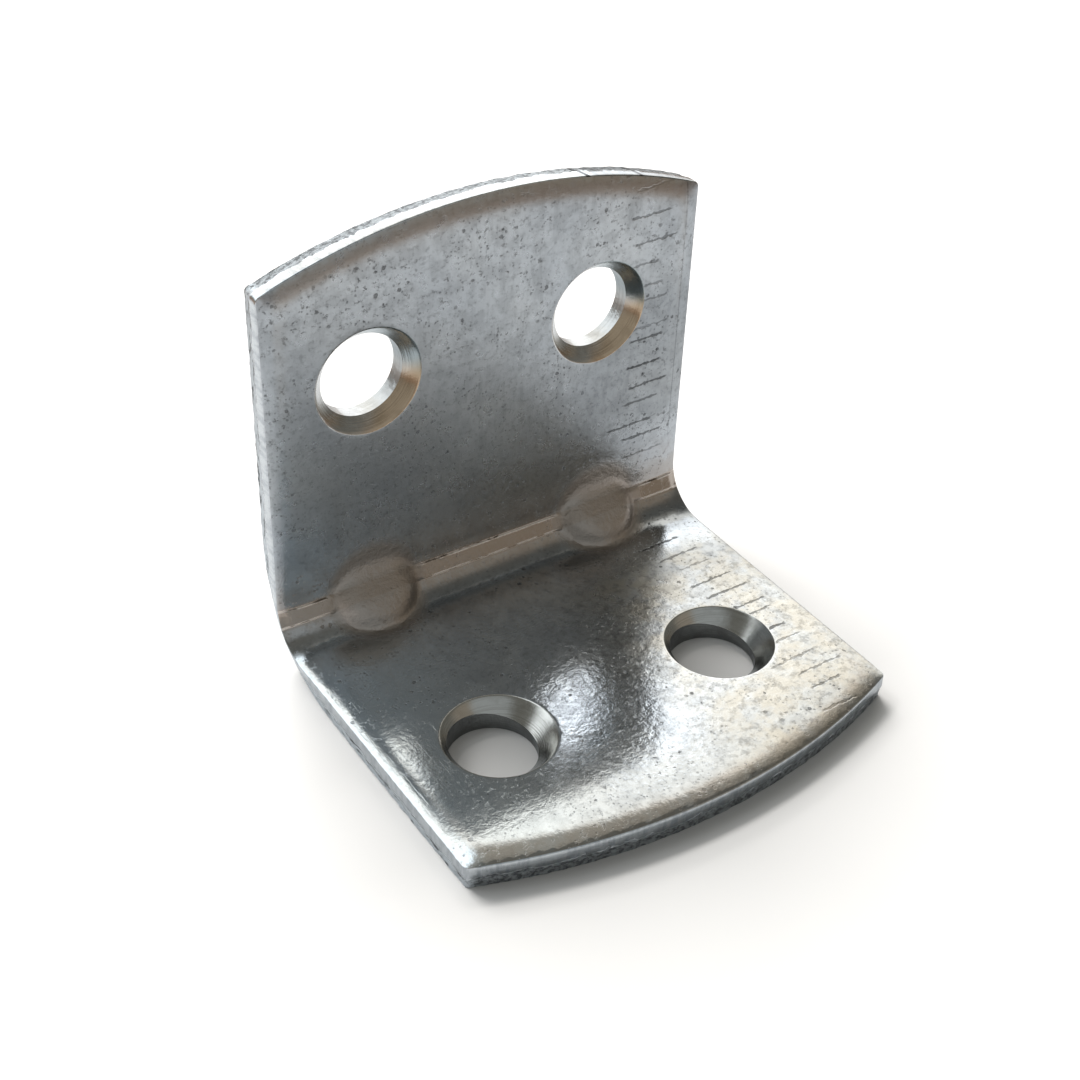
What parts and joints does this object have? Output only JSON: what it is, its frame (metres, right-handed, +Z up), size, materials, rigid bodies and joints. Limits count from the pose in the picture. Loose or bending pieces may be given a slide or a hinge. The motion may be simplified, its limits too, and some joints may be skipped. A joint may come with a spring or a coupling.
{
  "type": "angle bracket",
  "caption": "Folded sheet-steel angle bracket with countersunk screw holes, curved leg ends and round stiffening bosses in the bend.",
  "frame": {"origin": "middle of the underside: halfway across the width and halfway between the back face and the crown of the base leg's end", "axes": "+X along the bend, +Y out of the back face of the upright leg, +Z up along the upright leg"},
  "size_m": [0.0302, 0.0266, 0.0284],
  "materials": {
    "zinc_steel": "zinc-plated pressed steel, mottled, with a bright rolled edge and fine press marks"
  },
  "bodies": {
    "root": {"bracket": "zinc_steel"}
  },
  "joints": []
}
